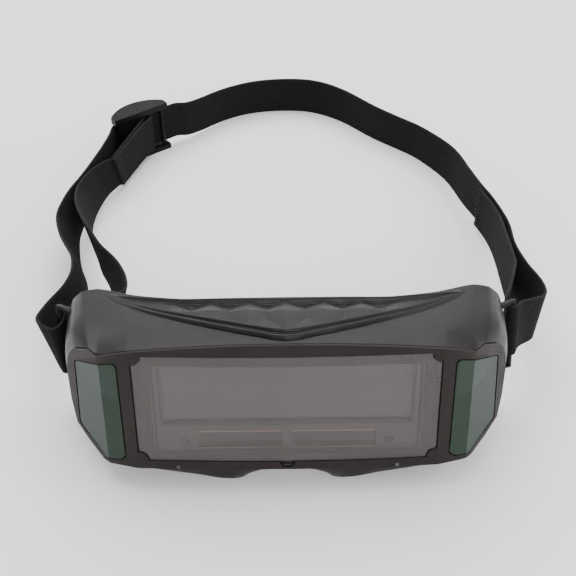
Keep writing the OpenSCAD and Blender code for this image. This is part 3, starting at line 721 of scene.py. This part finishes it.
# the strap's lower edge at the post: height, and route x and y
POST_H = LENS[2] - SL * mid_y + CL * STRAP_MID - WIDTH / 2 * math.cos(TILT)
POST_AT = (POST_X, LENS[1] - STRAP_Y + CL * mid_y + SL * STRAP_MID - WIDTH / 2 * math.sin(TILT))
WRAP_R = POST_OUTER + 0.2 + THICK / 2


def wrap(a0, a1, n):
    """Route points round the right post, from angle a0 to a1 in degrees."""
    out = []
    for i in range(n + 1):
        a = math.radians(a0 + (a1 - a0) * i / n)
        out.append([POST_AT[0] + WRAP_R * math.cos(a), POST_AT[1] + WRAP_R * math.sin(a), POST_H,
                    0, WIDTH * math.sin(TILT)])
    return out


# The strap's route. A point is [x, y, z] of the lower edge, then how far the upper edge leans
# in x and in y, all in mm; y counts from STRAP_Y.
LOOP = [[113, 181.5, 3.8, 0.8, 3], [115, 172, 5, 0.8, 3], [116.5, 160, 7, 1, 3],
        [116.8, 145, 10, 1.5, 3.5], [116.2, 130, 12.7, 1.5, 4], [115.3, 117, 15.2, 1.8, 4],
        [114.2, 103, 18.2, 2, 4.5], [113, 90, 21, 2, 4.5], [108.7, 75, 23.8, 1.7, 4.5],
        [104.7, 62, 26.2, 1.4, 5.5], [102.6, 53, 28.2, 0.5, 7.5]]
LOOP += wrap(190, 270, 4)
MAIN = wrap(-70, -30, 2) + [
    [109.5, 50.5, 27.7, 1, 7.5], [113, 55.5, 25.2, 2.5, 6], [120.5, 64, 22, 4, 5],
    [121.3, 80, 18.2, 5, 3.5], [118.2, 99.5, 14.5, 5, 2.5], [118, 120.5, 11.5, 3.2, 2],
    [119.2, 144, 8.5, 3.3, 1], [118.4, 171, 6, 0.4, 0.5], [115, 187, 4, 0.4, 0.5],
    [109.5, 206.5, 2.5, 2, 0.5], [102.7, 235, 1, 2.5, -0.5], [88, 260.5, 0.5, 1, -1],
    [76, 274, 0.1, 0, -1], [60, 289, 0.1, 0, 0], [39.5, 312, 0.1, 0.5, 0.5],
    [19, 325, 0.1, 0.8, 0.8], [-4, 327.5, 0.1, 0.5, 0.5], [-25, 323.5, 0.3, 0.5, 0],
    [-43, 313.5, 0.5, 0.3, 0], [-58, 299.5, 1.2, 0, 0], [-66.5, 292, 2.4, 0, 0]]
MAIN += [[*along(s), SLIDER_H, 0, 0] for s in (25, 15, 5, -5, -19.5)]
OUTER = [[-110.6, 258, 3.8, 0, 0], [-111, 249, 3.7, -0.5, -0.5], [-113, 231.5, 3.5, -2.5, -2],
         [-116.5, 210, 3.5, -5, -3], [-119.3, 192.5, 5, -7.3, -4], [-120.3, 174, 6.5, -8.8, -4.5],
         [-119.3, 162, 8, -8.8, -5.5], [-116, 145, 10, -7, -5.5], [-112.5, 132, 12, -5, -5.5],
         [-107, 116.5, 14.5, -4, -4.5], [-104.5, 100.5, 16.5, -4, -4],
         [-105.5, 85, 18.5, -4.5, -2.5], [-109, 71, 20.5, -5, -1.5], [-112, 57.5, 22.4, -4.5, 0],
         [-109.4, 50, 24.2, -6.5, 2], [-106.8, 43.8, 25.6, -6.3, 4],
         [-104.8, 40.4, 25.9, -4.5, 4.5], [-103.5, 38.9, 26, -3, 4.5]]
INNER = [[-102.3, 40.4, 26.2, -1.5, 5.2], [-102.1, 44, 26.4, -0.6, 6], [-102, 49, 26.6, 0, 7],
         [-99.3, 55.5, 26.4, 0, 6.5], [-93.5, 60.5, 25.6, 1.5, 5], [-87.5, 66.5, 24, 4, 3],
         [-84.5, 76, 21.7, 6.5, 0.5], [-86, 88, 19.7, 7, -1], [-89.5, 100.5, 17.7, 6.5, -2],
         [-94, 114, 15.7, 5, -4], [-100, 128, 13.5, 2.5, -5.5], [-105, 143.5, 11, 0, -6],
         [-110.5, 159, 9, -2.5, -5.5], [-114, 176, 7.5, -6, -4], [-114.5, 193, 5.5, -8, -3.5],
         [-113, 206.5, 4.5, -7.5, -4.5], [-110.5, 219, 3.5, -6, -5.5], [-105.6, 230, 3, -4, -7]]
ROUTE = np.array(LOOP + MAIN + OUTER + INNER, float)
LOOP_END = len(LOOP) - 1
MAIN_END = LOOP_END + len(MAIN)
OUTER_END = MAIN_END + len(OUTER)
INNER_END = OUTER_END + len(INNER)


def smooth_route(route, n):
    """A curve through the route's points, n steps to a stretch."""
    p = np.asarray(route, float)
    m = len(p)
    out = []
    for i in range(m - 1):
        a, b, c, d = p[max(i - 1, 0)], p[i], p[i + 1], p[min(i + 2, m - 1)]
        for k in range(n):
            out.append(catmull(a, b, c, d, k / n))
    out.append(p[-1])
    return np.array(out)


def edges_of(line):
    """The band's lower and upper edges in the shared frame."""
    low = line[:, :3] + [0, STRAP_Y, 0]
    high = low.copy()
    high[:, 0] += line[:, 3]
    high[:, 1] += line[:, 4]
    high[:, 2] += np.sqrt(WIDTH ** 2 - line[:, 3] ** 2 - line[:, 4] ** 2)
    return low, high


RIBS = 14


def section(fine=8):
    """Outline of the ribbed band: (place across the width 0..1, height off its mid-plane, mm)."""
    side = []
    total = RIBS * fine
    for k in range(total + 1):
        w = k / total
        rib = abs(math.sin(math.pi * w * RIBS)) ** 0.55
        edge = min(w, 1 - w) * WIDTH
        cap = math.sqrt(max(0.0, 1 - max(0.0, 1 - edge / 0.55) ** 2))
        side.append((w, (THICK / 2 - 0.30 + 0.30 * rib) * (0.25 + 0.75 * cap)))
    return [(w, h) for w, h in side] + [(w, -h) for w, h in reversed(side)]


def band(name, route, first, last, body, node, n=12):
    """Ribbed elastic along a route, from point first to point last; with no body it is left unattached."""
    line = smooth_route(route, n)
    low, high = edges_of(line)
    # the band follows a softened route: average the edges a little along their length
    for arr in (low, high):
        for _ in range(6):
            arr[1:-1] = arr[1:-1] * 0.5 + (arr[:-2] + arr[2:]) * 0.25
    tangent = np.gradient((low + high) / 2, axis=0)
    side = np.cross(tangent, high - low)
    side /= np.linalg.norm(side, axis=1)[:, None]
    run = np.concatenate([[0], np.cumsum(np.linalg.norm(np.diff((low + high) / 2, axis=0), axis=1))])
    pick = range(first * n, last * n + 1)
    prof = section()
    m = len(prof)
    verts, uv = [], []
    for i in pick:
        picks = 0.04 * math.sin(run[i] * 2 * math.pi / 1.9)
        for w, h in prof:
            hh = h + picks * (1 if h > 0 else -1)
            verts.append(low[i] + (high[i] - low[i]) * w + side[i] * hh)
            uv.append((run[i], w * WIDTH))
    count = len(verts) // m
    faces = []
    for k in range(count - 1):
        for j in range(m):
            a, b = k * m + j, k * m + (j + 1) % m
            faces.append((a, b, b + m, a + m))
    faces.append(tuple(range(m))[::-1])
    faces.append(tuple((count - 1) * m + j for j in range(m)))
    ob = new_object(name, verts, faces, MATS["strap"], body, node, uv=uv)
    fix_normals(ob)
    return ob


band("strap_loop_right_look", ROUTE, 0, LOOP_END, "goggles", "strap_right_loop")
band("strap_main_look", ROUTE, LOOP_END, MAIN_END, "goggles", "strap_main_band")
band("strap_outer_look", ROUTE, MAIN_END, OUTER_END, "goggles", "strap_outer_run")

# the strap's sewn loop on the slider's middle bar
BAR_R = 1.2
LOOP_R = BAR_R + 0.15 + THICK / 2
LOOP_BAR = along(2, THICK / 2 + 0.35 + LOOP_R + THICK / 2)
LOOP_DIR = math.radians(250.3)
LOOP_LEN, LOOP_STRAIGHT = 43.5, 13.0
SEWN = THICK / 2 + 0.1


def loop_station(d, e):
    """Route point of the sewn loop, d mm from its bar and e mm beside its middle plane."""
    t = max(0, d - LOOP_STRAIGHT) / (LOOP_LEN - LOOP_STRAIGHT)
    rake = 7.5 * t
    c, s = math.cos(LOOP_DIR), math.sin(LOOP_DIR)
    return [LOOP_BAR[0] + d * c - e * s, LOOP_BAR[1] + d * s + e * c, SLIDER_H - 1.5 * t, rake * c, rake * s]


LAYER_SPREAD = 0.012                    # the layers part a little towards the bar
# one layer up to the bar, half a turn round it, and the other layer back
loop_route = [loop_station(d, SEWN + (LOOP_LEN - d) * LAYER_SPREAD) for d in (LOOP_LEN, 33, 23, 13)]
loop_route.append(loop_station(4, LOOP_R))
for turn in range(90, -91, -30):
    turn = math.radians(turn)
    loop_route.append(loop_station(-LOOP_R * math.cos(turn), LOOP_R * math.sin(turn)))
loop_route.append(loop_station(4, -LOOP_R))
loop_route += [loop_station(d, -SEWN - (LOOP_LEN - d) * LAYER_SPREAD) for d in (13, 23, 33, LOOP_LEN)]
band("slider_loop_look", np.array(loop_route), 0, len(loop_route) - 1, "slider", "strap_slider_loop", n=8)

# the inner run is drawn on until it meets the back layer of the sewn loop
closed = np.vstack([ROUTE, loop_station(LOOP_LEN + 0.15, -SEWN)])
inner = band("strap_inner_look", closed, OUTER_END, INNER_END + 1, None, "strap_inner_run")
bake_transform(inner)


# ---- Stitching ---------------------------------------------------------------------------
ROW_AT = (0.15, 0.4, 0.65, 0.9)         # rows of thread, as shares of the sewn length
ROW_STITCHES = 11
HEM = 1.6                               # width kept free of thread along both edges


def stitches(name, a, b, body, node, rough=0.0):
    """Rows of thread across the band between route points a and b; rough sets how uneven."""
    a, b = np.array(a, float), np.array(b, float)
    parts = []
    tangent = np.array([b[0] - a[0], b[1] - a[1], 0])
    tangent /= np.linalg.norm(tangent)
    normal = np.array([-tangent[1], tangent[0], 0])
    for row in ROW_AT:
        p = a * (1 - row) + b * row
        low, high = edges_of(p[None])
        low, high = low[0], high[0]
        up = (high - low) / WIDTH
        for k in range(ROW_STITCHES):
            w0 = HEM + (WIDTH - 2 * HEM) * k / ROW_STITCHES
            w1 = w0 + (WIDTH - 2 * HEM) / ROW_STITCHES * 0.82
            pts = []
            jit = rng.normal(0, 0.12 + rough, 4)
            for t in np.linspace(0, 1, 6):
                out = THICK / 2 - 0.12 + 0.34 * math.sin(math.pi * t)
                slant = 0.35 * (k % 2) * t + jit[0] + (jit[1] - jit[0]) * t
                pts.append(low + up * (w0 + (w1 - w0) * t) + normal * out + tangent * slant)
            parts.append(tube(pts, [0.10, 0.2, 0.22, 0.22, 0.2, 0.10], 7))
    v, f = join(parts)
    return new_object(name, v, f, MATS["thread"], body, node)


stitches("stitching_left_look", loop_station(LOOP_LEN - 6, SEWN + 0.08), loop_station(LOOP_LEN - 1, SEWN),
         "slider", "strap_stitching_left")
stitches("stitching_right_look", [114.1, 176.5, 4.4, 0.8, 3], [113.2, 180.5, 4, 0.8, 3],
         "goggles", "strap_stitching_right", rough=0.25)

# frayed yarn ends on the cut end of the right loop
hairs = []
line = smooth_route(ROUTE[:3], 6)
low, high = edges_of(line[:2])
out_dir = low[0] - low[1]
out_dir /= np.linalg.norm(out_dir)
YARNS = 110
for _ in range(YARNS):
    w = rng.uniform(0.01, 0.99)
    start = low[0] + (high[0] - low[0]) * w - out_dir * 0.6
    reach = abs(rng.normal(1.0, 0.7)) + 0.4
    if w < 0.06:
        reach += rng.uniform(1.0, 3.2)
    drift = rng.normal(0, 0.5, 3)
    pts = []
    for t in np.linspace(0, 1, 5):
        sag = np.array([0, 0, -0.25 * t * t])
        pts.append(start + out_dir * (reach * t + 0.6 * t) + drift * t * t * reach * 0.5 + sag)
    hairs.append(tube(pts, [0.14, 0.12, 0.1, 0.08, 0.04], 5))
v, f = join(hairs)
v = np.asarray(v)
v[:, 2] = np.maximum(v[:, 2], 0.05)
new_object("loop_fray", v, f, MATS["thread"], "goggles")


# ---- Stage -------------------------------------------------------------------------------
floor_mat = Mat("studio_floor").set(Roughness=0.9)
floor_mat.mottled(3, 2, (0.93, 0.93, 0.93), (0.95, 0.95, 0.95))
# a paper sweep in metres: flat, a quarter bend behind the goggles, then straight up
xs = np.linspace(-3.0, 3.0, 7)
BEND_Y, BEND_R = 0.9, 0.6
profile = [(-2.5, 0.0), (BEND_Y, 0.0)]
for a in np.linspace(0.15, math.pi / 2, 12):
    profile.append((BEND_Y + BEND_R * math.sin(a), BEND_R - BEND_R * math.cos(a)))
profile.append((1.5, 3.0))
sv, sf = [], []
for y, z in profile:
    sv += [(x, y, z) for x in xs]
for k in range(len(profile) - 1):
    for j in range(len(xs) - 1):
        a = k * len(xs) + j
        sf.append((a, a + 1, a + len(xs) + 1, a + len(xs)))
mesh = bpy.data.meshes.new("floor")
mesh.from_pydata(sv, [], sf)
mesh.materials.append(floor_mat.m)
mesh.polygons.foreach_set("use_smooth", [True] * len(mesh.polygons))
floor = bpy.data.objects.new("floor", mesh)
bpy.context.scene.collection.objects.link(floor)

world = bpy.data.worlds.new("studio")
bpy.context.scene.world = world
world.use_nodes = True
sky = world.node_tree.nodes["Background"].inputs
sky["Color"].default_value = (1, 1, 1, 1)
sky["Strength"].default_value = 0.80


def softbox(name, at, aim, size, power):
    light = bpy.data.lights.new(name, "AREA")
    light.shape = "RECTANGLE"
    light.size, light.size_y = size
    light.energy = power
    ob = bpy.data.objects.new(name, light)
    ob.location = at
    ob.rotation_euler = (Vector(aim) - Vector(at)).to_track_quat("-Z", "Y").to_euler()
    bpy.context.scene.collection.objects.link(ob)
    return ob


softbox("key", (-0.15, 0.55, 1.25), (0, 0.0, 0.03), (1.6, 1.2), 26)
softbox("front", (0.25, -1.2, 0.75), (0, -0.12, 0.04), (1.1, 0.5), 9)
softbox("side", (1.1, -0.1, 0.6), (0.05, -0.1, 0.03), (0.5, 0.8), 5)

# the camera that was fitted to the photo, in mm
CAMERA_AT, CAMERA_AIM = Vector((1.073, -439.48, 343.54)), Vector((1.073, -160.29, 109.27))
ROLL = -0.7
cam_data = bpy.data.cameras.new("camera")
cam_data.lens = 59.8
cam_data.sensor_width = 36
cam_data.clip_end = 20
cam = bpy.data.objects.new("camera", cam_data)
bpy.context.scene.collection.objects.link(cam)
pos = CAMERA_AT * MM
aim = CAMERA_AIM * MM
turn = (aim - pos).to_track_quat("-Z", "Y").to_matrix().to_4x4() @ Matrix.Rotation(math.radians(ROLL), 4, "Z")
cam.matrix_world = Matrix.Translation(pos) @ turn
bpy.context.scene.camera = cam
